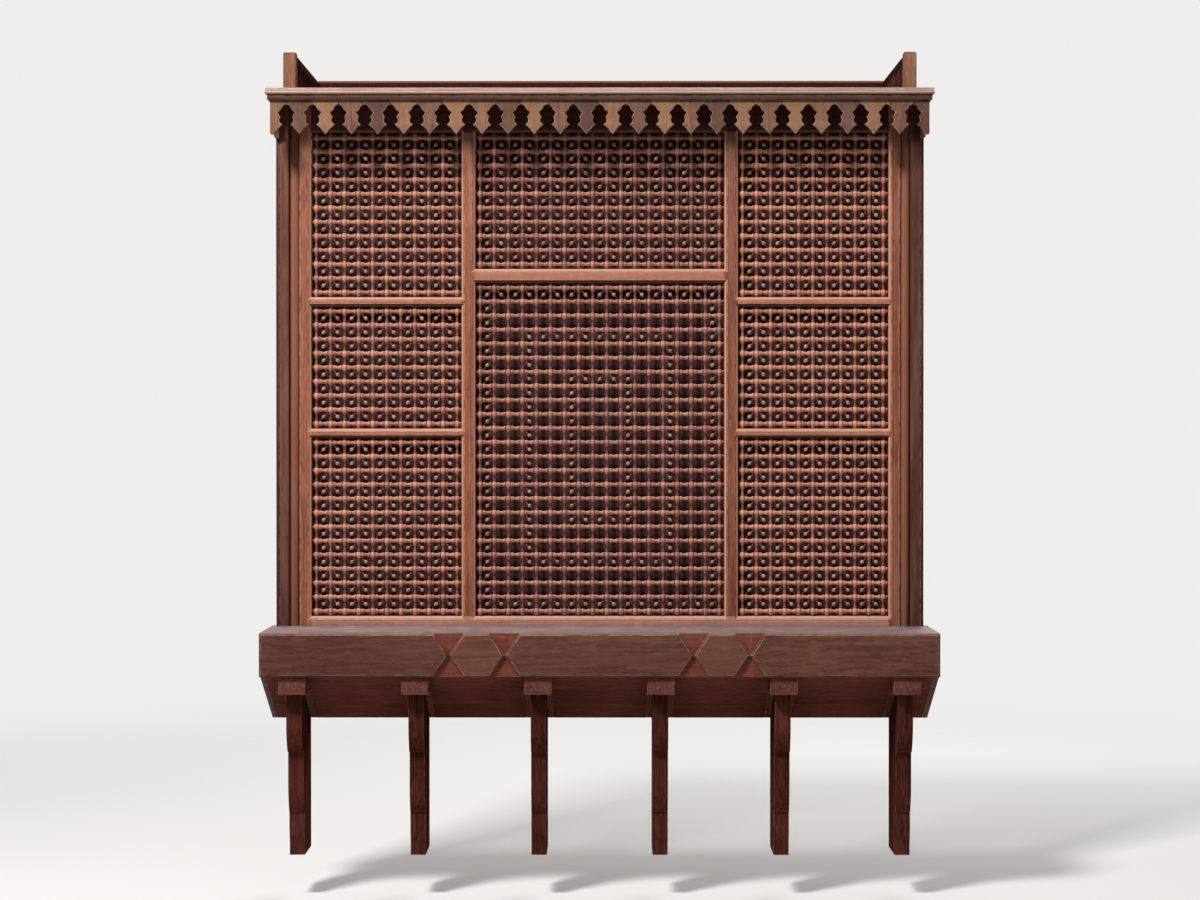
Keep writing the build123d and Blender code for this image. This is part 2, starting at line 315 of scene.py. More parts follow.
def round_arrises(piece: Object, width: float) -> None:
    """Round every sharp edge of a piece, and mark the rounded faces as arrises.

    Args:
        piece: The piece to finish.
        width: How far the rounding reaches from the edge.
    """
    piece.data.materials.clear()
    for _ in range(2):
        piece.data.materials.append(None)
    rounding = piece.modifiers.new("arrises", "BEVEL")
    rounding.width = width
    rounding.segments = 2
    rounding.limit_method = "ANGLE"
    rounding.angle_limit = SHARP
    rounding.material = 1
    rounding.harden_normals = True
    select_only(piece)
    bpy.ops.object.shade_smooth()
    bpy.ops.object.modifier_apply(modifier=rounding.name)
    faces = piece.data.polygons
    rounded = np.zeros(len(faces), np.int32)
    faces.foreach_get("material_index", rounded)
    mark(piece, "arris", rounded)
    faces.foreach_set("material_index", np.zeros(len(faces), np.int32))
    piece.data.materials.clear()


def solid_copy(node: str, name: str) -> Object:
    """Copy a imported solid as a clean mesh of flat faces.

    Args:
        node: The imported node.
        name: The copy's name.

    Returns:
        The copy, which stands where the node stands.
    """
    piece = own_copy(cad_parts[node], name)
    with edit_mode(piece):
        bpy.ops.mesh.remove_doubles(threshold=WELD)
        bpy.ops.mesh.dissolve_limited(angle_limit=FLAT)
    return piece


class Grain(Enum):
    """The way a member's grain runs, as the turn that brings it onto X."""

    ALONG = (0.0, 0.0, 0.0)
    UPRIGHT = (0.0, math.pi / 2, 0.0)
    INWARD = (0.0, 0.0, -math.pi / 2)


class Wiring:
    """The nodes of a material, a world or a group, and the links between them."""

    NOISE_ROUGHNESS = 0.6  # how strongly the finer layers of a noise show

    def __init__(self, tree: NodeTree) -> None:
        """Start with no nodes.

        Args:
            tree: The tree to fill.
        """
        self.tree = tree
        tree.nodes.clear()

    @classmethod
    def of(cls, owner: Material | World) -> "Wiring":
        """Open the nodes of a material or a world."""
        owner.use_nodes = True
        return cls(owner.node_tree)

    def place(self, kind: str, inputs: dict | None = None, **settings: object) -> Node:
        """Place a node, and link or set its inputs.

        Args:
            kind: The node's type.
            inputs: A socket to link or a value to set, for each input by name or number.
            settings: The node's own settings.

        Returns:
            The new node.
        """
        node = self.tree.nodes.new(kind)
        for setting, value in settings.items():
            setattr(node, setting, value)
        for key, value in (inputs or {}).items():
            if isinstance(value, NodeSocket):
                self.tree.links.new(value, node.inputs[key])
            else:
                node.inputs[key].default_value = value
        return node

    def reckon(self, operation: str, *terms: NodeSocket | float) -> NodeSocket:
        """Work out a number from others.

        Args:
            operation: The Math node's operation.
            terms: Sockets or numbers.

        Returns:
            The socket with the result.
        """
        node = self.place("ShaderNodeMath", dict(enumerate(terms)), operation=operation)
        return node.outputs[0]

    def shift(self, vector: NodeSocket, by: NodeSocket) -> NodeSocket:
        """Move a vector by another, or by one number along every axis."""
        return self.place("ShaderNodeVectorMath", {0: vector, 1: by}, operation="ADD").outputs[0]

    def stretch(self, vector: NodeSocket, by: tuple[float, float, float]) -> NodeSocket:
        """Scale a vector by a factor for each axis."""
        node = self.place("ShaderNodeVectorMath", {0: vector, 1: by}, operation="MULTIPLY")
        return node.outputs[0]

    def upness(self, vector: NodeSocket) -> NodeSocket:
        """Give how far a vector runs up."""
        return self.place("ShaderNodeSeparateXYZ", {0: vector}).outputs["Z"]

    def mix(
        self,
        share: NodeSocket,
        first: NodeSocket | Colour,
        second: NodeSocket | Colour,
        blend: str = "MIX",
    ) -> NodeSocket:
        """Mix two colours.

        Args:
            share: How much of the second colour shows.
            first: The first colour.
            second: The second colour.
            blend: The way of mixing.

        Returns:
            The socket with the mixed colour.
        """
        inputs = {0: share, 6: first, 7: second}
        node = self.place("ShaderNodeMix", inputs, data_type="RGBA", blend_type=blend)
        return node.outputs[2]

    def spread(self, value: NodeSocket, low: float, high: float) -> NodeSocket:
        """Stretch the range from low to high onto 0 to 1, with soft ends.

        Args:
            value: The number to stretch.
            low: What becomes 0.
            high: What becomes 1.

        Returns:
            The socket with the stretched number.
        """
        inputs = {"Value": value, "From Min": low, "From Max": high}
        node = self.place("ShaderNodeMapRange", inputs, interpolation_type="SMOOTHSTEP")
        return node.outputs["Result"]

    def noise(self, vector: NodeSocket, scale: float, detail: float) -> NodeSocket:
        """Lay a noise over a surface.

        Args:
            vector: Where on the surface.
            scale: How many patches a metre holds.
            detail: How many finer layers the noise has.

        Returns:
            The socket with the noise, from 0 to 1.
        """
        layers = {"Detail": detail, "Roughness": self.NOISE_ROUGHNESS}
        inputs = {"Vector": vector, "Scale": scale, **layers}
        return self.place("ShaderNodeTexNoise", inputs).outputs["Fac"]

    def any_ray(self, *kinds: str) -> NodeSocket:
        """Tell rays of some kinds from all others.

        Args:
            kinds: The kinds, as the Light Path node names them.

        Returns:
            The socket that is 1 for a ray of any of the kinds, and 0 for others.
        """
        rays = self.place("ShaderNodeLightPath").outputs
        found, *others = (rays[f"Is {kind} Ray"] for kind in kinds)
        for ray in others:
            found = self.reckon("MAXIMUM", found, ray)
        return found

    def blend(
        self, share: NodeSocket, first: Node, second: Node, output: str = "Material"
    ) -> None:
        """Blend two shaders, and send the blend to the output.

        Args:
            share: How much of the second shader shows.
            first: The first shader.
            second: The second shader.
            output: What the nodes belong to: Material or World.
        """
        shaders = {0: share, 1: first.outputs[0], 2: second.outputs[0]}
        blended = self.place("ShaderNodeMixShader", shaders)
        self.place(f"ShaderNodeOutput{output}", {"Surface": blended.outputs[0]})


class WiringGroup(Wiring):
    """A node group, whose results are numbers."""

    def __init__(
        self,
        name: str,
        vectors: tuple[str, ...],
        numbers: tuple[str, ...],
        results: tuple[str, ...],
    ) -> None:
        """Open the group.

        Args:
            name: The group's name.
            vectors: The names of its inputs that are vectors.
            numbers: The names of its inputs that are numbers.
            results: The names of its outputs.
        """
        super().__init__(bpy.data.node_groups.new(name, "ShaderNodeTree"))
        sockets = [(vector, "INPUT", "NodeSocketVector") for vector in vectors]
        sockets += [(number, "INPUT", "NodeSocketFloat") for number in numbers]
        sockets += [(result, "OUTPUT", "NodeSocketFloat") for result in results]
        for socket, way, kind in sockets:
            self.tree.interface.new_socket(socket, in_out=way, socket_type=kind)
        self.given = self.tree.nodes.new("NodeGroupInput").outputs
        self.results = self.tree.nodes.new("NodeGroupOutput").inputs

    def give(self, name: str, value: NodeSocket) -> None:
        """Give a number out as one of the results."""
        self.tree.links.new(value, self.results[name])


@dataclass(frozen=True)
class Patches:
    """Soft patches that a noise lays over a surface.

    Attributes:
        scale: How many patches a metre holds.
        detail: How many finer layers they have.
        low: The noise that becomes 0.
        high: The noise that becomes 1.
    """

    scale: float
    detail: float
    low: float
    high: float

    def lay(self, wiring: Wiring, vector: NodeSocket) -> NodeSocket:
        """Lay the patches over a surface, as numbers from 0 to 1."""
        return wiring.spread(wiring.noise(vector, self.scale, self.detail), self.low, self.high)


STREAKS = Patches(scale=3.2, detail=5.0, low=0.34, high=0.68)
CLOUDS = Patches(scale=2.4, detail=3.0, low=0.3, high=0.7)
FIBRES = Patches(scale=30.0, detail=3.0, low=0.32, high=0.66)
RUBBED = Patches(scale=26.0, detail=4.0, low=0.35, high=0.62)
SETTLED = Patches(scale=9.0, detail=5.0, low=0.25, high=0.75)
TRICKLES = Patches(scale=1.0, detail=5.0, low=0.46, high=0.74)

BOARD_SHIFT = 41.0  # how far apart in the wood the boards with the numbers 0 and 1 lie
STREAK_DRAW = (1.0, 26.0, 26.0)  # how much finer streaks are across the grain than along it
FIBRE_DRAW = (1.0, 34.0, 34.0)  # the same for fibres
TRICKLE_DRAW = (30.0, 30.0, 1.6)  # trickles are finer across than down a face
STREAK_SHARE = 0.68  # how much of the figure is streaks, and the rest is clouds
LEDGE: Span = (0.35, 0.95)  # how far up a face looks where dust starts to lie, and lies full
LEAST_DUST = 0.45  # the share of dust that lies even between its patches
UNDERSIDE: Span = (-0.75, -0.25)  # how far up an arris looks that faces down, and that doesn't
LOW_BOARDS: Span = (0.55, 0.0)  # the number where boards start to turn low, and are so in full
HIGH_BOARDS: Span = (0.45, 1.0)  # the same for boards that turn high
PORE_DEPTH = 0.3  # how much darker the pores are
DUST_DULLNESS = 0.3  # how much rougher dust makes the wood
FIGURE_SHEEN = 0.08  # how much smoother the light figure is than the dark
PIT_SHARPNESS, PIT_DEPTH = 0.25, 0.0006  # how clearly the pores show as pits, and their depth
OIL_ROUGHNESS = 0.32  # the roughness of the oil coat


@cache
def grain_group() -> NodeTree:
    """Build the grain of hardwood, which runs along X and starts anew on each board.

    Returns:
        A group that gives the broad figure and the fine fibre, each from 0 to 1.
    """
    group = WiringGroup("hardwood_grain", ("Vector",), ("Board",), ("Figure", "Fibre"))
    moved = group.shift(
        group.given["Vector"], group.reckon("MULTIPLY", group.given["Board"], BOARD_SHIFT)
    )
    waver = group.noise(moved, scale=7.0, detail=2.0)
    streaks = STREAKS.lay(group, group.shift(group.stretch(moved, STREAK_DRAW), waver))
    clouds = group.reckon("MULTIPLY", CLOUDS.lay(group, moved), 1 - STREAK_SHARE)
    group.give("Figure", group.reckon("MULTIPLY_ADD", streaks, STREAK_SHARE, clouds))
    group.give("Fibre", FIBRES.lay(group, group.stretch(moved, FIBRE_DRAW)))
    return group.tree


@cache
def arris_mark_group() -> NodeTree:
    """Build the arris marks, which come and go along the edge: rubbed wear, and painted shade
    where the arris colour is dark.

    Returns:
        A group that gives a mask from 0 to 1.
    """
    group = WiringGroup("arris_wear_and_shade", ("Vector",), ("Arris", "Amount"), ("Mask",))
    patches = RUBBED.lay(group, group.given["Vector"])
    edges = group.reckon("MULTIPLY", patches, group.given["Arris"])
    group.give("Mask", group.reckon("MULTIPLY", edges, group.given["Amount"]))
    return group.tree


@cache
def weather_group() -> NodeTree:
    """Build the weather's marks: dust that lies on ledges, and grey runs down upright faces.

    Returns:
        A group that gives the masks Dust and Runs, each from 0 to 1.
    """
    group = WiringGroup("weather", ("Vector", "Normal"), ("Dust", "Runs"), ("Dust", "Runs"))
    ledges = group.spread(group.upness(group.given["Normal"]), *LEDGE)
    patches = SETTLED.lay(group, group.given["Vector"])
    uneven = group.reckon("MULTIPLY_ADD", patches, 1 - LEAST_DUST, LEAST_DUST)
    lying = group.reckon("MULTIPLY", ledges, uneven)
    group.give("Dust", group.reckon("MULTIPLY", lying, group.given["Dust"]))
    trickles = TRICKLES.lay(group, group.stretch(group.given["Vector"], TRICKLE_DRAW))
    group.give("Runs", group.reckon("MULTIPLY", trickles, group.given["Runs"]))
    return group.tree


@dataclass(frozen=True)
class WoodFinish:
    """One hardwood, oiled or bare, and how it has aged.

    Attributes:
        name: What the finish is called.
        slot: The record's material slot that it belongs to; not used.
        dark: The colour of its dark figure.
        light: The colour of its light figure.
        low: The colour that boards with a low number lean to.
        high: The colour that boards with a high number lean to.
        edge_wear_and_shade: The colour on arrises: pale rubbed wear in most finishes, and dark
            painted shade on the corner posts.
        grey: The colour of dust and weathered runs.
        variety: How far the boards differ, from 0 to 1.
        arris_marking: How strongly the arris colour shows.
        under_wear: The share of that marking on arrises that face down.
        dust: How much dust lies on level faces.
        runs: How strongly grey runs show.
        gloss: The weight of its oil coat.
        shine: How strongly the wood itself reflects.
        roughness: The roughness of the oiled wood.
    """

    name: str
    slot: str
    dark: Swatch
    light: Swatch
    low: Swatch
    high: Swatch
    edge_wear_and_shade: Swatch
    grey: Swatch
    variety: float = 0.3
    arris_marking: float = 0.6
    under_wear: float = 1.0
    dust: float = 0.4
    runs: float = 0.1
    gloss: float = 0.0
    shine: float = 0.0
    roughness: float = 0.65

    @cache
    def material(self, grain: Grain) -> Material:
        """Build the material for members whose grain runs one way, once for each way.

        Args:
            grain: The way the grain runs.

        Returns:
            The material.
        """
        material = bpy.data.materials.new(f"{self.name}_{grain.name.lower()}")
        wiring = Wiring.of(material)
        where = wiring.place("ShaderNodeTexCoord").outputs["Object"]
        normal = wiring.place("ShaderNodeNewGeometry").outputs["Normal"]
        board = wiring.place("ShaderNodeAttribute", attribute_name="board").outputs["Fac"]
        wood = self.lay_grain(wiring, where, board, grain)
        edge_wear_and_shade = self.mark_arris_wear_and_shade(wiring, where, normal)
        aging = {"Vector": where, "Normal": normal, "Dust": self.dust, "Runs": self.runs}
        weather = wiring.place("ShaderNodeGroup", aging, node_tree=weather_group()).outputs

        # The arris colour: rubbed wear in most finishes, painted shade on the corner posts.
        edged = wiring.mix(edge_wear_and_shade, self.tone_wood(wiring, wood, board), paint(self.edge_wear_and_shade))
        streaked = wiring.mix(weather["Runs"], edged, paint(self.grey))
        dusted = wiring.mix(weather["Dust"], streaked, paint(self.grey))
        dull = wiring.reckon("MULTIPLY_ADD", weather["Dust"], DUST_DULLNESS, self.roughness)
        rough = wiring.reckon("MULTIPLY_ADD", wood["Figure"], -FIGURE_SHEEN, dull)
        pitting = {"Height": wood["Fibre"], "Strength": PIT_SHARPNESS, "Distance": PIT_DEPTH}
        relief = wiring.place("ShaderNodeBump", pitting)
        surface = {
            "Base Color": dusted,
            "Roughness": rough,
            "Normal": relief.outputs[0],
            "Specular IOR Level": self.shine,
            "Coat Weight": self.gloss,
            "Coat Roughness": OIL_ROUGHNESS,
        }
        shader = wiring.place("ShaderNodeBsdfPrincipled", surface)
        wiring.place("ShaderNodeOutputMaterial", {"Surface": shader.outputs[0]})
        return material

    @staticmethod
    def lay_grain(
        wiring: Wiring, where: NodeSocket, board: NodeSocket, grain: Grain
    ) -> NodeOutputs:
        """Lay the grain along a member.

        Args:
            wiring: The material's nodes.
            where: Where on the member.
            board: The number of the board.
            grain: The way the grain runs.

        Returns:
            The outputs Figure and Fibre.
        """
        turned = wiring.place("ShaderNodeMapping", {"Vector": where, "Rotation": grain.value})
        inputs = {"Vector": turned.outputs[0], "Board": board}
        return wiring.place("ShaderNodeGroup", inputs, node_tree=grain_group()).outputs

    def mark_arris_wear_and_shade(self, wiring: Wiring, where: NodeSocket, normal: NodeSocket) -> NodeSocket:
        """Mark the arrises with the arris colour, those that face down less than the others:
        rubbed wear, and painted shade where that colour is dark.

        Args:
            wiring: The material's nodes.
            where: Where on the member.
            normal: The way its face looks.

        Returns:
            The socket with the mask of the arris colour.
        """
        arris = wiring.place("ShaderNodeAttribute", attribute_name="arris").outputs["Fac"]
        low_wear = self.arris_marking * self.under_wear
        open_share = wiring.spread(wiring.upness(normal), *UNDERSIDE)
        amount = wiring.reckon("MULTIPLY_ADD", open_share, self.arris_marking - low_wear, low_wear)
        inputs = {"Vector": where, "Arris": arris, "Amount": amount}
        return wiring.place("ShaderNodeGroup", inputs, node_tree=arris_mark_group()).outputs["Mask"]

    def tone_wood(self, wiring: Wiring, wood: NodeOutputs, board: NodeSocket) -> NodeSocket:
        """Colour the figure, lean each board to its own tone and darken the pores.

        Args:
            wiring: The material's nodes.
            wood: The outputs Figure and Fibre.
            board: The number of the board.

        Returns:
            The socket with the colour.
        """
        dark = paint(self.dark)
        figured = wiring.mix(wood["Figure"], dark, paint(self.light))
        lowness = wiring.reckon("MULTIPLY", wiring.spread(board, *LOW_BOARDS), self.variety)
        highness = wiring.reckon("MULTIPLY", wiring.spread(board, *HIGH_BOARDS), self.variety)
        lowered = wiring.mix(lowness, figured, paint(self.low))
        toned = wiring.mix(highness, lowered, paint(self.high))
        pores = wiring.reckon("MULTIPLY_ADD", wood["Fibre"], -PORE_DEPTH, PORE_DEPTH)
        return wiring.mix(pores, toned, dark, "MULTIPLY")


FRAME = WoodFinish(
    name="oiled_frame_wood",
    slot="frame_wood",
    dark=(110, 57, 39),
    light=(161, 99, 72),
    # The colour that low boards lean to, and painted shade on the splays and bead runs that face
    # down.
    low=(58, 24, 18),
    # Pale partly as dust and partly as painted light, on the opening beads and the splays that
    # face up.
    high=(192, 138, 111),
    edge_wear_and_shade=(200, 146, 120),
    grey=(202, 168, 156),
    variety=0.9,
    dust=0.6,
    gloss=0.06,
    shine=0.22,
    roughness=0.5,
)
SILL = replace(
    FRAME,
    name="dusty_sill_wood",
    light=(160, 105, 86),
    high=(188, 146, 132),
    grey=(204, 174, 168),
)
# Painted shade: the head rail's whole finish is dark because it stands in the valance's shadow.
SHADED_HEAD_RAIL = WoodFinish(
    name="painted_shade_head_rail_wood",
    slot="frame_wood",
    dark=(46, 22, 22),
    light=(74, 38, 36),
    low=(50, 24, 24),
    high=(76, 40, 36),
    edge_wear_and_shade=(84, 48, 42),
    grey=(90, 62, 58),
    shine=0.1,
    roughness=0.7,
)
LATTICE = WoodFinish(
    name="turned_lattice_wood",
    slot="lattice_wood",
    dark=(120, 69, 59),
    light=(166, 112, 98),
    # Partly painted shade: the dark colour of the upright links, stubs and pegs.
    low=(82, 42, 35),
    # Partly painted highlight: the bright colour of the balls.
    high=(202, 134, 102),
    edge_wear_and_shade=(206, 172, 160),
    grey=(196, 162, 152),
    variety=0.95,
    # Dust on upward faces, heavy enough to stand partly for painted light from above.
    dust=0.7,
    gloss=0.1,
    shine=0.22,
    roughness=0.5,
)
POST = WoodFinish(
    name="weathered_post_wood",
    slot="post_wood",
    dark=(80, 47, 40),
    light=(118, 79, 68),
    # Painted shade: the dark colour that the casings' outer strips lean to.
    low=(62, 34, 29),
    high=(142, 88, 66),
    edge_wear_and_shade=(156, 116, 100),
    grey=(132, 106, 98),
    variety=0.9,
    runs=0.28,
    shine=0.04,
    roughness=0.5,
)
SHELF_TOP = WoodFinish(
    name="weathered_shelf_wood",
    slot="shelf_wood",
    dark=(60, 42, 44),
    light=(96, 74, 77),
    low=(64, 47, 48),
    high=(101, 79, 80),
    edge_wear_and_shade=(84, 62, 66),
    grey=(160, 138, 138),
    dust=0.75,
    gloss=0.06,
    shine=0.1,
)
FASCIA = WoodFinish(
    name="dark_fascia_wood",
    slot="fascia_wood",
    dark=(67, 38, 32),
    light=(109, 72, 60),
    low=(72, 44, 38),
    high=(112, 70, 58),
    edge_wear_and_shade=(156, 122, 114),
    grey=(150, 124, 118),
    variety=0.4,
    arris_marking=0.9,
    under_wear=0.0,
    dust=0.7,
    runs=0.0,
    shine=0.06,
    roughness=0.6,
)
BACKING = WoodFinish(
    name="red_backing_wood",
    slot="panel_wood",
    dark=(82, 35, 25),
    light=(129, 66, 48),
    low=(92, 42, 32),
    high=(129, 66, 47),
    edge_wear_and_shade=(166, 108, 86),
    grey=(150, 116, 100),
    gloss=0.06,
    shine=0.14,
    roughness=0.6,
)
JOIST = WoodFinish(
    name="pale_joist_wood",
    slot="fascia_wood",
    dark=(74, 40, 34),
    light=(117, 73, 64),
    low=(84, 48, 41),
    high=(112, 69, 59),
    edge_wear_and_shade=(142, 98, 84),
    grey=(120, 90, 82),
    dust=0.2,
    runs=0.0,
)
SOFFIT = WoodFinish(
    name="dark_soffit_wood",
    slot="bracket_wood",
    dark=(75, 36, 31),
    light=(112, 64, 56),
    low=(79, 41, 36),
    high=(110, 62, 54),
    edge_wear_and_shade=(108, 62, 53),
    grey=(94, 60, 52),
    variety=0.25,
    arris_marking=0.1,
    dust=0.0,
    runs=0.0,
    roughness=0.85,
)
BRACKET = WoodFinish(
    name="red_bracket_wood",
    slot="bracket_wood",
    dark=(46, 20, 17),
    light=(88, 46, 38),
    low=(56, 27, 24),
    high=(88, 46, 38),
    edge_wear_and_shade=(122, 70, 56),
    grey=(96, 62, 52),
    variety=0.5,
    dust=0.2,
    runs=0.0,
    roughness=0.6,
)
VALANCE = WoodFinish(
    name="faded_valance_wood",
    slot="valance_wood",
    dark=(100, 66, 54),
    light=(141, 102, 84),
    low=(84, 58, 52),
    high=(146, 106, 79),
    edge_wear_and_shade=(190, 152, 122),
    grey=(150, 128, 118),
    variety=0.85,
    arris_marking=0.9,
    shine=0.12,
)
CORNICE = WoodFinish(
    name="faded_cornice_wood",
    slot="crown_wood",
    dark=(150, 121, 115),
    light=(188, 163, 156),
    # Painted shade: the dark colour of the cornice's foot and of the strip over it.
    low=(54, 25, 21),
    high=(178, 134, 100),
    edge_wear_and_shade=(190, 154, 140),
    grey=(196, 166, 158),
    variety=1.0,
    dust=0.7,
    runs=0.0,
    shine=0.08,
)
CORNER_POST = WoodFinish(
    name="faded_corner_post_wood",
    slot="crown_wood",
    dark=(106, 68, 53),
    light=(143, 102, 83),
    low=(114, 77, 62),
    high=(141, 100, 81),
    # Painted shade: the dark arris colour stands for the shade on the post's rounded edges.
    edge_wear_and_shade=(66, 40, 35),
    grey=(206, 180, 156),
    arris_marking=0.9,
    dust=0.9,
)
GUARD = WoodFinish(
    name="dark_guard_rail_wood",
    slot="crown_wood",
    dark=(46, 20, 20),
    light=(78, 42, 40),
    low=(50, 24, 24),
    high=(150, 104, 72),
    edge_wear_and_shade=(96, 60, 54),
    grey=(110, 80, 74),
    variety=0.9,
    dust=0.25,
)


def dress(piece: Object, finish: WoodFinish, grain: Grain, *nodes: str) -> None:
    """Give a piece its finish, its body and the solids that it stands for.

    Args:
        piece: The finished mesh.
        finish: The wood that it is made of.
        grain: The way its grain runs.
        nodes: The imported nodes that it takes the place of, if any.
    """
    piece.data.materials.clear()
    piece.data.materials.append(finish.material(grain))
    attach(piece, BODY)
    if nodes:
        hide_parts(*nodes)
    log.info("%s: %d faces in %s", piece.name, len(piece.data.polygons), finish.name)


def both_ways(half: Stations) -> Stations:
    """Mirror the stations of half a turned shape about its middle.

    Args:
        half: The stations from the middle outward.

    Returns:
        The stations from one end to the other.
    """
    return (*((-place_along, radius) for place_along, radius in reversed(half[1:])), *half)


def drawn_out(shares: Stations, length: float, thickness: float = 1.0) -> Stations:
    """Draw stations that are given as shares out to their lengths.

    Args:
        shares: The stations, with places as shares of the length.
        length: What the places are shares of.
        thickness: What the radii are shares of.

    Returns:
        The stations in metres.
    """
    return tuple((length * share, thickness * radius) for share, radius in shares)


@dataclass(frozen=True)
class Turning:
    """A shape turned on a lathe.

    Attributes:
        stations: The place along the axis and the radius there, from one end to the other.
        sides: How many flats stand for the round.
    """

    stations: Stations
    sides: int = 8

    def make(self, name: str, centre: Vector, axis: Vector) -> Object:
        """Turn the shape.

        Args:
            name: The piece's name.
            centre: Where the stations' zero lies.
            axis: The way the stations run.

        Returns:
            The turned piece, closed at both ends.
        """
        (start, radius), *rest = self.stations
        piece = flat_disc(name, self.sides, radius, start)
        with edit_mode(piece):
            for station, next_radius in rest:
                rise = {"value": (0, 0, station - start)}
                bpy.ops.mesh.extrude_region_move(TRANSFORM_OT_translate=rise)
                growth = next_radius / radius
                bpy.ops.transform.resize(
                    value=(growth, growth, 1), center_override=(0, 0, station)
                )
                start, radius = station, next_radius
            bpy.ops.mesh.select_all(action="SELECT")
            bpy.ops.mesh.normals_make_consistent(inside=False)
        bpy.ops.object.shade_smooth()
        piece.rotation_euler = axis.to_track_quat("Z", "Y").to_euler()
        piece.location = centre
        settle(piece)
        return piece


class CellFill(Enum):
    """Which cells of a lattice hold a bead on diagonal pegs."""

    EVERY_CELL = "every cell"
    RINGS = "rings, one inside the other"


@dataclass
class LatticePanel:
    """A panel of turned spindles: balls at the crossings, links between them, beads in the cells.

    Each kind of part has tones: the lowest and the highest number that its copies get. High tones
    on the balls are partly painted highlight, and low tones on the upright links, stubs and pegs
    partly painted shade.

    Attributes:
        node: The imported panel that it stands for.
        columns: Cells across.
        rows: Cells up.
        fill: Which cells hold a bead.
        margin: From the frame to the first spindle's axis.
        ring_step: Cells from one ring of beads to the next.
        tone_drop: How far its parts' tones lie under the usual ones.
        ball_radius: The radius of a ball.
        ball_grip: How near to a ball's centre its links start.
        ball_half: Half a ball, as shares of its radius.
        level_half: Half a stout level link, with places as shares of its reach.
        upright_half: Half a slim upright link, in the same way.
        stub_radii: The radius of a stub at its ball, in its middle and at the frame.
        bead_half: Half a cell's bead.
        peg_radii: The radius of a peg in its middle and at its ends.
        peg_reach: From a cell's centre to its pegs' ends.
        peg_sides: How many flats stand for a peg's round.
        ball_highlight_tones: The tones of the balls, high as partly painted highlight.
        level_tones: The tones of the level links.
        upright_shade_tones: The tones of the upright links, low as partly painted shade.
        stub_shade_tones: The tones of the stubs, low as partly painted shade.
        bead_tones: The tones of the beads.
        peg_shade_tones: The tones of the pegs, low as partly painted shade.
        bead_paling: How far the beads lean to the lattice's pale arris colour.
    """

    node: str
    columns: int
    rows: int
    fill: CellFill = CellFill.EVERY_CELL
    margin: float = 0.025
    ring_step: int = 3
    tone_drop: float = 0.0
    ball_radius: float = 0.0160
    ball_grip: float = 0.0130
    ball_half: Stations = ((0.0, 1.0), (0.5, 0.88), (0.86, 0.62), (1.2, 0.42))
    level_half: Stations = ((0.0, 0.0092), (0.38, 0.0098), (0.66, 0.0134), (1.0, 0.0124))
    upright_half: Stations = ((0.0, 0.0066), (0.42, 0.0072), (0.66, 0.0106), (1.0, 0.0078))
    stub_radii: tuple[float, float, float] = (0.0095, 0.0105, 0.0085)
    bead_half: Stations = ((0.0, 0.0100), (0.0052, 0.0088), (0.0092, 0.0056), (0.0114, 0.0020))
    peg_radii: tuple[float, float] = (0.0014, 0.0020)
    peg_reach: float = 0.038
    peg_sides: int = 6
    ball_highlight_tones: Span = (0.6, 0.9)
    level_tones: Span = (0.45, 0.7)
    upright_shade_tones: Span = (0.0, 0.25)
    stub_shade_tones: Span = (0.0, 0.3)
    bead_tones: Span = (0.35, 0.5)
    peg_shade_tones: Span = (0.0, 0.1)
    bead_paling: float = 0.5

    def __post_init__(self) -> None:
        """Read the panel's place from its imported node."""
        low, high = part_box(self.node)
        self.pitch = (high.x - low.x - 2 * self.margin) / self.columns
        self.start = Vector((low.x + self.margin, (low.y + high.y) / 2, low.z + self.margin))
        self.chance = random.Random(self.node)
        self.parts: list[Object] = []

    def at(self, column: float, row: float) -> Vector:
        """Give the point that lies so many cells right of and above the first crossing."""
        return self.start + Vector((column * self.pitch, 0, row * self.pitch))

    def lay(
        self,
        part: Object,
        columns: int,
        rows: int,
        tones: Span,
        stride: int = 1,
        edged: float = 0.0,
    ) -> None:
        """Repeat a turned part over the panel.

        Args:
            part: The part at its first place.
            columns: Copies across.
            rows: Copies up.
            tones: The lowest and the highest number for the copies' tones.
            stride: Cells from one copy across to the next.
            edged: How far the copies take the arris colour.
        """
        if columns < 1 or rows < 1:
            bpy.data.objects.remove(part)
            return
        repeat(part, (stride * self.pitch, 0, 0), columns)
        repeat(part, (0, 0, self.pitch), rows)
        dropped = (max(0.0, tones[0] - self.tone_drop), max(0.0, tones[1] - self.tone_drop))
        mark_boards(part, self.chance, columns * rows, dropped)
        mark(part, "arris", np.full(len(part.data.polygons), edged))
        self.parts.append(part)

    def lay_balls(self) -> None:
        """Turn the balls at the crossings, on upright axes."""
        stations = drawn_out(self.ball_half, self.ball_radius, self.ball_radius)
        ball = Turning(both_ways(stations)).make("ball", self.at(0, 0), UPWARD)
        self.lay(ball, self.columns + 1, self.rows + 1, self.ball_highlight_tones)

    def lay_links(self) -> None:
        """Turn the links from ball to ball: stout level ones, and slimmer upright ones."""
        reach = self.pitch / 2 - self.ball_grip
        stout = Turning(both_ways(drawn_out(self.level_half, reach)))
        slim = Turning(both_ways(drawn_out(self.upright_half, reach)))
        level = stout.make("level_link", self.at(0.5, 0), RIGHTWARD)
        self.lay(level, self.columns, self.rows + 1, self.level_tones)
        upright = slim.make("upright_link", self.at(0, 0.5), UPWARD)
        self.lay(upright, self.columns + 1, self.rows, self.upright_shade_tones)

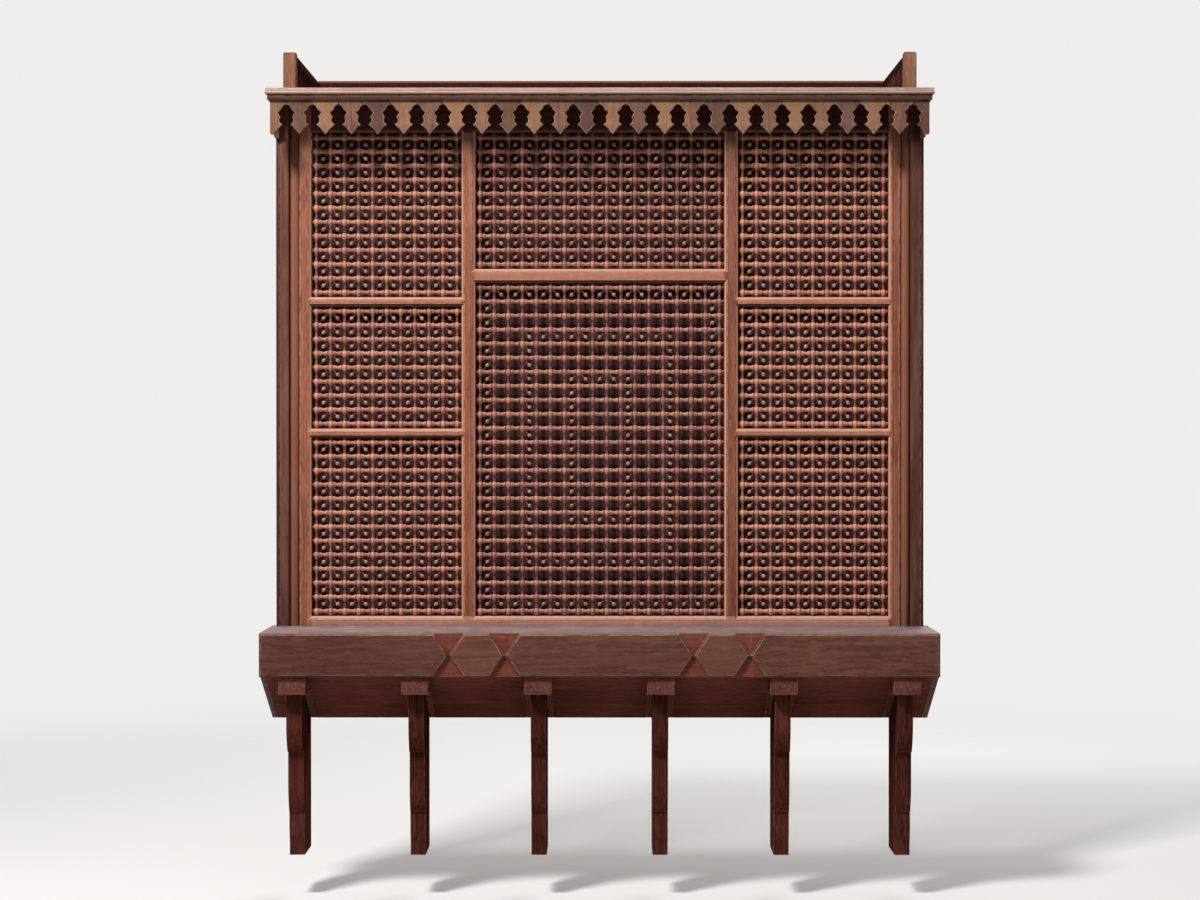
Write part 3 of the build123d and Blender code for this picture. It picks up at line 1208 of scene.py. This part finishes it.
    def lay_stubs(self) -> None:
        """Turn the short ends that let the outer balls into the frame."""
        reach = (self.margin - self.ball_grip) / 2
        stub = Turning(tuple(zip((-reach, 0.0, reach), self.stub_radii)))
        off = (self.ball_grip + reach) / self.pitch
        right, top = self.columns, self.rows
        ends = (
            (-off, 0, LEFTWARD, 1, top + 1),
            (right + off, 0, RIGHTWARD, 1, top + 1),
            (0, -off, DOWNWARD, right + 1, 1),
            (0, top + off, UPWARD, right + 1, 1),
        )
        for column, row, axis, across, up in ends:
            self.lay(stub.make("stub", self.at(column, row), axis), across, up, self.stub_shade_tones)

    def lay_beads(self, column: int, row: int, across: int, up: int, stride: int = 1) -> None:
        """Lay beads on their pegs, which lean one way in even columns and back in odd ones.

        Args:
            column: The first cell's column.
            row: The first cell's row.
            across: Cells across.
            up: Cells up.
            stride: Cells from one to the next across.
        """
        lean = RIGHTWARD + (UPWARD if column % 2 == 0 else DOWNWARD)
        centre = self.at(column + 0.5, row + 0.5)
        bead = Turning(both_ways(self.bead_half)).make("cell_bead", centre, lean)
        self.lay(bead, across, up, self.bead_tones, stride, edged=self.bead_paling)
        peg_half = tuple(zip((0.0, self.peg_reach), self.peg_radii))
        peg = Turning(both_ways(peg_half), self.peg_sides).make("peg", centre, lean)
        self.lay(peg, across, up, self.peg_shade_tones, stride)

    def lay_cells(self) -> None:
        """Fill the cells with beads on diagonal pegs."""
        if self.fill is CellFill.EVERY_CELL:
            for first in (0, 1):
                across = (self.columns - first + 1) // 2
                self.lay_beads(first, 0, across, self.rows, stride=2)
            return
        for inset in range(0, min(self.columns, self.rows) // 2, self.ring_step):
            right, top = self.columns - 1 - inset, self.rows - 1 - inset
            for column in {inset, right}:  # one column where the ring is that narrow
                self.lay_beads(column, inset, 1, top - inset + 1)
            for row in (inset, top):
                for first in (inset + 1, inset + 2):
                    across = (right - first + 1) // 2
                    self.lay_beads(first, row, across, 1, stride=2)

    def build(self) -> None:
        """Turn and lay every part, and join them into one panel."""
        self.lay_balls()
        self.lay_links()
        self.lay_stubs()
        self.lay_cells()
        panel = join(f"turned_{self.node}", self.parts)
        dress(panel, LATTICE, Grain.UPRIGHT, self.node)


@dataclass
class OpeningBead:
    """A slim splayed strip, mitred round a lattice opening, a little behind the frame's face.

    Attributes:
        panel: The lattice panel's node, which fills the opening.
        width: Across the strip, seen from the front.
        slope: How much further back its inner edge lies than its outer one.
        thickness: From its face to its back.
        setback: How far its outer edge stays behind the frame's front face.
        tone: The number that its finish reads: high and pale, partly dust and partly painted
            highlight.
        painted_shade_tone: The number for the run over the opening, which faces down: low and
            dark, as painted shade.
    """

    panel: str
    width: float = 0.0102
    slope: float = 0.009
    thickness: float = 0.006
    setback: float = 0.0006
    tone: float = 1.0
    painted_shade_tone: float = 0.0

    def build(self) -> None:
        """Make the strip from a sheet as large as the opening's mouth."""
        low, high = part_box(self.panel)
        size = high - low
        centre = (low + high) / 2
        centre.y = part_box("transom")[0].y + self.setback
        name = self.panel.replace("lattice", "bead")
        piece = upright_sheet(name, centre, size.x + 2 * self.width, size.z + 2 * self.width)
        with edit_mode(piece):
            bpy.ops.mesh.inset(thickness=self.width, depth=0)
            bpy.ops.mesh.delete(type="ONLY_FACE")
            choose_edges(piece, lambda edge: self.is_inner_run(edge, centre, size))
            bpy.ops.transform.translate(value=(0, self.slope, 0))
            bpy.ops.mesh.select_all(action="SELECT")
            bpy.ops.mesh.extrude_region_move(
                TRANSFORM_OT_translate={"value": (0, self.thickness, 0)}
            )
            bpy.ops.mesh.select_all(action="SELECT")
            bpy.ops.mesh.normals_make_consistent(inside=False)
        select_only(piece)
        bpy.ops.object.shade_smooth_by_angle(angle=SHARP)
        # Painted shade: the bead's faces that look down take the dark tone, the rest the pale
        # one.
        tones = [
            self.painted_shade_tone if face.normal.z < -LEAST_SLANT else self.tone
            for face in piece.data.polygons
        ]
        mark(piece, "board", np.array(tones))
        dress(piece, FRAME, Grain.UPRIGHT)

    @staticmethod
    def is_inner_run(edge: bmesh.types.BMEdge, centre: Vector, size: Vector) -> bool:
        """Say whether an edge runs along the opening's own edge.

        Args:
            edge: The edge.
            centre: The opening's middle.
            size: The opening's size.

        Returns:
            Whether both its ends lie on the opening's edge or within it.
        """
        return all(
            abs(vertex.co.x - centre.x) < size.x / 2 + WELD
            and abs(vertex.co.z - centre.z) < size.z / 2 + WELD
            for vertex in edge.verts
        )


@dataclass
class Member:
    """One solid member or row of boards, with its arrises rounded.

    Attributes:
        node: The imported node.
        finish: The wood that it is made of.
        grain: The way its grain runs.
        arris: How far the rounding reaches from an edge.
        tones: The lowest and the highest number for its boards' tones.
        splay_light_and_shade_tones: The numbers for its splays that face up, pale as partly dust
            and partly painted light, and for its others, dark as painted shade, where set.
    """

    node: str
    finish: WoodFinish
    grain: Grain
    arris: float = 0.002
    tones: Span = ALL_TONES
    splay_light_and_shade_tones: Span | None = None

    def build(self) -> None:
        """Copy the solid, round its arrises and dress it."""
        piece = solid_copy(self.node, f"finished_{self.node}")
        round_arrises(piece, self.arris)
        piece = mark_loose_boards(piece, random.Random(self.node), self.tones)
        if self.splay_light_and_shade_tones:
            self.paint_splay_light_and_shade(piece, *self.splay_light_and_shade_tones)
        dress(piece, self.finish, self.grain, self.node)

    @staticmethod
    def paint_splay_light_and_shade(piece: Object, lit_dusty_ledge_tone: float, painted_shade_tone: float) -> None:
        """Paint light and shade on the faces that slant, apart from the rounded arrises, as the
        splays' own tones.

        Args:
            piece: The finished member.
            lit_dusty_ledge_tone: The number for splays that face up, pale as partly dust and
                partly painted light.
            painted_shade_tone: The number for the others, dark as painted shade.
        """
        boards = piece.data.attributes["board"].data
        rounded = piece.data.attributes["arris"].data
        # Painted light and shade: splays that face up go pale, the others dark.
        for face in piece.data.polygons:
            splayed = LEAST_SLANT < abs(face.normal.y) < MOST_SLANT
            if splayed and not rounded[face.index].value:
                tone = lit_dusty_ledge_tone if face.normal.z > LEAST_SLANT else painted_shade_tone
                boards[face.index].value = tone


@dataclass
class BoardedMember(Member):
    """A solid that is laid in several boards beside each other.

    Attributes:
        across: The way from one board to the next.
        joints: Where the joints lie, as shares of the way across.
        gap: The width of a joint.
        board_tones: The lowest and the highest tone of each board, where they are set.
    """

    across: Vector = field(default_factory=lambda: Vector((0, 1, 0)))
    joints: tuple[float, ...] = (0.25, 0.5, 0.75)
    gap: float = 0.0012
    board_tones: tuple[Span, ...] = ()

    def build(self) -> None:
        """Saw the solid into boards, round their arrises and dress them."""
        whole = solid_copy(self.node, "whole")
        way = self.across.normalized()
        reaches = [vertex.co.dot(way) for vertex in whole.data.vertices]
        start, end = min(reaches), max(reaches)
        edges = [start + share * (end - start) for share in self.joints]
        sawn = []
        board_tones = self.board_tones or (self.tones,) * (len(edges) + 1)
        for number, tones in enumerate(board_tones):
            board = own_copy(whole, f"board_{number}")
            if number > 0:
                self.saw(board, way, edges[number - 1] + self.gap / 2)
            if number < len(edges):
                self.saw(board, -way, self.gap / 2 - edges[number])
            round_arrises(board, self.arris)
            chance = random.Random(f"{self.node} {number}")
            sawn.append(mark_loose_boards(board, chance, tones))
        bpy.data.objects.remove(whole)
        piece = join(f"boarded_{self.node}", sawn)
        dress(piece, self.finish, self.grain, self.node)

    @staticmethod
    def saw(board: Object, way: Vector, reach: float) -> None:
        """Cut a board through, and close the cut.

        Args:
            board: The board.
            way: Square to the cut, into the part that stays.
            reach: How far along that way the cut lies.
        """
        with edit_mode(board):
            bpy.ops.mesh.bisect(
                plane_co=way * reach, plane_no=way, use_fill=True, clear_inner=True
            )


def even_joints(boards: int) -> tuple[float, ...]:
    """Give the joints between boards of one width, as shares of the way across them."""
    return tuple(number / boards for number in range(1, boards))


@dataclass
class Screen:
    """The lattice panels and the frame that holds them.

    Attributes:
        side_columns: Cells across a side bay.
        centre_columns: Cells across the centre bay.
        side_rows: Cells up each side panel, from the bottom.
        centre_rows: Cells up each centre panel, from the bottom.
        uprights: The frame's upright members, and the tone of each.
        rails: Its level members between the bottom rail and the head rail.
        bead_width: Across the bead that stands between a post's casing and the frame.
        edging_width: Across the casing's outer strip.
        post_gap: The width of the joints in a post.
        bead_tones: The lowest and the highest tone of the posts' beads.
        casing_tones: The same for the left and the right casing.
        painted_shade_edging_tones: The same for the casings' outer strips, dark as painted shade.
        level_tones: The lowest and the highest tone of rails.
        sill_tones: The lowest and the highest tone of the dusty bottom rail.
        splay_light_and_shade_tones: The tone of splays that face up, pale as partly dust and
            partly painted light, and of the others, dark as painted shade.
        centre_drop: How far the centre panels' tones lie under the left ones'.
        right_drop: The same for the right panels, which are lighter.
    """

    side_columns: int = 10
    centre_columns: int = 17
    side_rows: tuple[int, int, int] = (12, 8, 11)
    centre_rows: tuple[int, int] = (23, 9)
    uprights: tuple[tuple[str, float], ...] = (
        ("stile_left", 0.48),
        ("mullion_left", 0.46),
        ("mullion_right", 0.35),
        ("stile_right", 0.38),
    )
    rails: tuple[str, ...] = (
        "transom",
        "rail_left_lower",
        "rail_left_upper",
        "rail_right_lower",
        "rail_right_upper",
    )
    bead_width: float = 0.052
    edging_width: float = 0.018
    post_gap: float = 0.0022
    bead_tones: Span = (0.76, 0.86)
    casing_tones: tuple[Span, Span] = ((0.56, 0.6), (0.22, 0.26))
    painted_shade_edging_tones: Span = (0.0, 0.05)
    level_tones: Span = (0.57, 0.7)
    sill_tones: Span = (0.7, 0.75)
    splay_light_and_shade_tones: tuple[float, float] = (1.0, 0.0)
    centre_drop: float = 0.13
    right_drop: float = -0.07

    def build_post(self, side: Side, casing_tones: Span) -> None:
        """Build a post at one end: a red bead beside a greyer casing and its edging, darkened as
        painted shade.

        Args:
            side: The end.
            casing_tones: The lowest and the highest tone of its casing.
        """
        node = f"post_{side.value}"
        low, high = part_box(node)
        bead = self.bead_width / (high.x - low.x)
        edging = self.edging_width / (high.x - low.x)
        joints = (bead, 1 - edging)
        tones = (self.bead_tones, casing_tones, self.painted_shade_edging_tones)
        if side is Side.LEFT:
            joints = (edging, 1 - bead)
            tones = tones[::-1]
        BoardedMember(
            node,
            POST,
            Grain.UPRIGHT,
            across=RIGHTWARD,
            joints=joints,
            gap=self.post_gap,
            board_tones=tones,
        ).build()

    def panels(self) -> Iterator[LatticePanel]:
        """Set out the lattice panels, those of the side bays first.

        Yields:
            Each panel, ready to build.
        """
        drops = {Side.LEFT: 0.0, Side.RIGHT: self.right_drop}
        for side, drop in drops.items():
            for level, rows in zip(("bottom", "middle", "top"), self.side_rows):
                node = f"lattice_{side.value}_{level}"
                yield LatticePanel(node, self.side_columns, rows, tone_drop=drop)
        fills = {"bottom": CellFill.RINGS, "top": CellFill.EVERY_CELL}
        for (level, fill), rows in zip(fills.items(), self.centre_rows):
            node = f"lattice_centre_{level}"
            yield LatticePanel(node, self.centre_columns, rows, fill, tone_drop=self.centre_drop)

    def build(self) -> None:
        """Build the panels, their beads and the frame."""
        for panel in self.panels():
            panel.build()
            OpeningBead(panel.node).build()
        for side, casing_tones in zip(Side, self.casing_tones):
            self.build_post(side, casing_tones)
        members = [(node, FRAME, Grain.UPRIGHT, (tone, tone)) for node, tone in self.uprights]
        members += [(node, FRAME, Grain.ALONG, self.level_tones) for node in self.rails]
        members.append(("bottom_rail", SILL, Grain.ALONG, self.sill_tones))
        for node, finish, grain, tones in members:
            Member(node, finish, grain, tones=tones, splay_light_and_shade_tones=self.splay_light_and_shade_tones).build()
        # The head rail's dark finish is painted shade under the valance.
        Member("head_rail", SHADED_HEAD_RAIL, Grain.ALONG).build()


@dataclass
class Shelf:
    """The shelf box with its fascia and soffit, and the joists and brackets under it.

    Attributes:
        bearers: How many joists, and brackets under them, carry the shelf.
        top_boards: Boards in the shelf's top.
        soffit_boards: Boards from the fascia to the wall in each bay of the soffit.
        soffit_gap: The width of the joints between them.
        plank_arris: How far the rounding of the fascia's planks reaches.
        joist_arris: The same for the joists.
        bracket_arris: The same for the brackets.
        joist_tones: The lowest and the highest tone of the joists.
    """

    bearers: int = 6
    top_boards: int = 4
    soffit_boards: int = 3
    soffit_gap: float = 0.0006
    plank_arris: float = 0.0012
    joist_arris: float = 0.003
    bracket_arris: float = 0.0025
    joist_tones: Span = (0.35, 0.45)

    def soffit_slope(self) -> Vector:
        """Work out which way the soffit slopes.

        Returns:
            The way down it, from the fascia to the wall.
        """
        low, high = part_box("shelf_end_left")
        fascia_low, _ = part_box("fascia_backing")
        return Vector((0, high.y - low.y, low.z - fascia_low.z))

    def build(self) -> None:
        """Build the boards, joists and brackets."""
        joints = even_joints(self.top_boards)
        BoardedMember("shelf_board", SHELF_TOP, Grain.ALONG, joints=joints).build()
        BoardedMember(
            "soffit_boards",
            SOFFIT,
            Grain.ALONG,
            across=self.soffit_slope(),
            joints=even_joints(self.soffit_boards),
            gap=self.soffit_gap,
        ).build()
        Member("fascia_backing", BACKING, Grain.ALONG).build()
        Member("fascia_planks", FASCIA, Grain.ALONG, self.plank_arris).build()
        Member("wall_plate", BRACKET, Grain.ALONG).build()
        for side in Side:
            Member(f"shelf_end_{side.value}", FASCIA, Grain.INWARD).build()
        for number in range(1, self.bearers + 1):
            joist = f"joist_{number}"
            Member(joist, JOIST, Grain.INWARD, self.joist_arris, self.joist_tones).build()
            Member(f"bracket_{number}", BRACKET, Grain.UPRIGHT, self.bracket_arris).build()


@dataclass
class Canopy:
    """The canopy board with its cornice, valance and guard rail.

    Attributes:
        boards: Boards in the canopy, from the front to the wall.
        foot_share: How far up the cornice its foot reaches, as a share of its height.
        hollow_share: How far up the strip over its foot reaches, which is painted dark as shade.
        round_share: How far up the golden part of its half-round reaches.
        rail_share: How much of the back rail's height lies under its capping.
        cornice_gap: The width of the grooves between the cornice's parts.
        cornice_tones_and_painted_shade: The lowest and the highest tone of each of its parts,
            from the foot up; the foot and the strip over it are painted dark as shade.
        rail_gap: The width of the joint under the capping.
        rail_tones: The lowest and the highest tone of the back rail, and of its capping.
        cornice_arris: How far the rounding of the cornice's edges reaches.
        valance_arris: The same for the valance.
        post_arris: The same for the corner posts.
        side_rail_tones: The lowest and the highest tone of side rails and sills.
        baluster_tones: The same for the balusters.
    """

    boards: int = 3
    foot_share: float = 0.31
    hollow_share: float = 0.45
    round_share: float = 0.6
    rail_share: float = 0.7
    cornice_gap: float = 0.0014
    cornice_tones_and_painted_shade: tuple[Span, ...] = ((0.08, 0.1), (0.0, 0.02), (0.9, 1.0), (0.5, 0.55))
    rail_gap: float = 0.0006
    rail_tones: tuple[Span, Span] = ((0.0, 0.2), (0.9, 1.0))
    cornice_arris: float = 0.001
    valance_arris: float = 0.0024
    post_arris: float = 0.004
    side_rail_tones: Span = (0.1, 0.5)
    baluster_tones: Span = (0.0, 0.5)

    def build(self) -> None:
        """Build the canopy and all that stands on it or hangs from it."""
        joints = even_joints(self.boards)
        BoardedMember("canopy_board", CORNICE, Grain.ALONG, joints=joints).build()
        BoardedMember(
            "cornice_moulding",
            CORNICE,
            Grain.ALONG,
            self.cornice_arris,
            across=UPWARD,
            joints=(self.foot_share, self.hollow_share, self.round_share),
            gap=self.cornice_gap,
            board_tones=self.cornice_tones_and_painted_shade,
        ).build()
        for node in ("valance_front", "valance_left", "valance_right"):
            Member(node, VALANCE, Grain.UPRIGHT, self.valance_arris).build()
        BoardedMember(
            "crown_rail_back",
            GUARD,
            Grain.ALONG,
            across=UPWARD,
            joints=(self.rail_share,),
            gap=self.rail_gap,
            board_tones=self.rail_tones,
        ).build()
        for end in (side.value for side in Side):
            Member(f"corner_post_{end}", CORNER_POST, Grain.UPRIGHT, self.post_arris).build()
            for node in (f"crown_rail_{end}", f"crown_sill_{end}"):
                Member(node, GUARD, Grain.INWARD, tones=self.side_rail_tones).build()
            Member(f"balusters_{end}", GUARD, Grain.UPRIGHT, tones=self.baluster_tones).build()


def stand(tool: Light | Camera, spot: Vector, aim: Vector) -> Object:
    """Stand a lamp or a camera at one point, facing another.

    Args:
        tool: The lamp or the camera.
        spot: Where it stands.
        aim: The point that it faces.

    Returns:
        The object that holds it.
    """
    holder = bpy.data.objects.new(tool.name, tool)
    holder.location = spot
    holder.rotation_euler = (aim - spot).to_track_quat("-Z", "Y").to_euler()
    bpy.context.scene.collection.objects.link(holder)
    return holder


@dataclass(frozen=True)
class Lamp:
    """A square soft lamp.

    Attributes:
        name: What it is called.
        spot: Where it hangs.
        size: The length of its side.
        power: Its power in watts.
    """

    name: str
    spot: tuple[float, float, float]
    size: float
    power: float

    def hang(self, aim: Vector) -> None:
        """Hang the lamp.

        Args:
            aim: The point that it faces.
        """
        light = bpy.data.lights.new(self.name, "AREA")
        light.shape = "SQUARE"
        light.size = self.size
        light.energy = self.power
        stand(light, Vector(self.spot), aim)


@dataclass
class Studio:
    """The floor, the unlit space behind the lattice, the lamps and the camera.

    Attributes:
        eye: The photographer's place.
        sensor: The width of the camera's sensor, in millimetres.
        reach: How far the camera sees.
        frame_ratio: The picture's width to its height.
        headroom: How much taller the picture is than the screen.
        floor_gap: From the lowest point of the screen down to the floor.
        floor_radius: The floor's radius.
        floor_sides: How many edges stand for its round.
        floor_fade: The distances where the floor starts to fade, and is gone.
        floor_colour: The colour of the floor.
        pale: The colour of the background.
        warm: The colour of the light from all round.
        low_light: The strength of the light from below.
        high_light: How much stronger it is from above.
        light_rise: The heights from which, and up to which, it grows.
        shade: The colour of the unlit space.
        shade_place: How far behind the wall's face the unlit space starts.
        lap: How far the unlit space runs on behind the frame.
        hold: How much of the light from behind stays off the lattice, from 0 to 1.
        lamps: The lamp at the front and the one behind.
        lamp_aim: The point that the lamps face.
    """

    eye: Vector = field(default_factory=lambda: Vector((0.05, -14.7, 1.148)))
    sensor: float = 36
    reach: float = 200
    frame_ratio: float = 4 / 3
    headroom: float = 1.09
    floor_gap: float = 0.22
    floor_radius: float = 16
    floor_sides: int = 96
    floor_fade: Span = (3.0, 11.0)
    floor_colour: Colour = (0.62, 0.61, 0.6, 1.0)
    pale: Colour = (0.86, 0.85, 0.84, 1.0)
    warm: Colour = (1.0, 0.98, 0.96, 1.0)
    low_light: float = 0.05
    high_light: float = 0.36
    light_rise: Span = (-0.3, 0.55)
    shade: Colour = (0.056, 0.024, 0.023, 1.0)
    shade_place: float = 0.03
    lap: float = 0.04
    hold: float = 0.7
    lamps: tuple[Lamp, ...] = (
        Lamp("high_lamp", (-5.2, -9.0, 10.0), size=2.4, power=2550),
        Lamp("back_lamp", (2.6, 8.0, 6.0), size=5.0, power=650),
    )
    lamp_aim: Vector = field(default_factory=lambda: Vector((0, -0.3, 1.0)))

    def lay_floor(self) -> None:
        """Lay a pale floor that fades with distance, and is clear seen from below."""
        low, _ = solid_box
        floor = flat_disc("floor", self.floor_sides, self.floor_radius, low[2] - self.floor_gap)
        material = bpy.data.materials.new("pale_floor")
        wiring = Wiring.of(material)
        where = wiring.place("ShaderNodeTexCoord").outputs["Object"]
        level = wiring.stretch(where, (1.0, 1.0, 0.0))
        away = wiring.place("ShaderNodeVectorMath", {0: level}, operation="LENGTH")
        far = wiring.spread(away.outputs["Value"], *self.floor_fade)
        behind = wiring.place("ShaderNodeNewGeometry").outputs["Backfacing"]
        paper = wiring.place("ShaderNodeBsdfDiffuse", {"Color": self.floor_colour})
        clear = wiring.place("ShaderNodeBsdfTransparent")
        wiring.blend(wiring.reckon("MAXIMUM", far, behind), paper, clear)
        floor.data.materials.append(material)

    def hang_shade(self) -> None:
        """Hang a dark sheet behind the lattice, which only shows from the front."""
        low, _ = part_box("lattice_left_bottom")
        _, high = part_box("lattice_right_top")
        size = high - low
        centre = (low + high) / 2
        centre.y = self.shade_place
        width, height = size.x + 2 * self.lap, size.z + 2 * self.lap
        sheet = upright_sheet("unlit_space", centre, width, height)
        material = bpy.data.materials.new("unlit_space")
        wiring = Wiring.of(material)
        behind = wiring.place("ShaderNodeNewGeometry").outputs["Backfacing"]
        held = wiring.reckon("MAXIMUM", wiring.any_ray("Camera", "Glossy"), self.hold)
        shown = wiring.reckon("MULTIPLY", held, wiring.reckon("SUBTRACT", 1.0, behind))
        dark = wiring.place("ShaderNodeBsdfDiffuse", {"Color": self.shade})
        clear = wiring.place("ShaderNodeBsdfTransparent")
        wiring.blend(shown, clear, dark)
        sheet.data.materials.append(material)

    def light_world(self) -> None:
        """Light the scene from all round, with a pale background for the camera."""
        world = bpy.data.worlds.new("pale_studio")
        bpy.context.scene.world = world
        wiring = Wiring.of(world)
        way = wiring.place("ShaderNodeTexCoord").outputs["Generated"]
        rise = wiring.spread(wiring.upness(way), *self.light_rise)
        strength = wiring.reckon("MULTIPLY_ADD", rise, self.high_light, self.low_light)
        glow = {"Color": self.warm, "Strength": strength}
        around = wiring.place("ShaderNodeBackground", glow)
        backdrop = wiring.place("ShaderNodeBackground", {"Color": self.pale, "Strength": 1.0})
        seen = wiring.any_ray("Camera", "Glossy", "Transmission")
        wiring.blend(seen, around, backdrop, "World")

    def place_camera(self) -> None:
        """Stand the camera at the photographer's place, with the screen filling the picture."""
        low, high = (Vector(corner) for corner in solid_box)
        aim = (low + high) / 2
        camera = bpy.data.cameras.new("camera")
        distance = low.y - self.eye.y
        picture_width = (high.z - low.z) * self.headroom * self.frame_ratio
        camera.sensor_width = self.sensor
        camera.lens = self.sensor * distance / picture_width
        camera.clip_end = self.reach
        bpy.context.scene.camera = stand(camera, self.eye, aim)

    def build(self) -> None:
        """Set up the whole studio."""
        self.lay_floor()
        self.hang_shade()
        self.light_world()
        for lamp in self.lamps:
            lamp.hang(self.lamp_aim)
        self.place_camera()
        bpy.context.scene.view_settings.view_transform = "Standard"


def main() -> None:
    """Build the screen from the lattice out, then the studio round it."""
    logging.basicConfig(level=logging.INFO, format="%(message)s")
    for assembly in (Screen(), Shelf(), Canopy(), Studio()):
        log.info("Building %s", type(assembly).__name__)
        assembly.build()


if __name__ == "__main__":
    main()
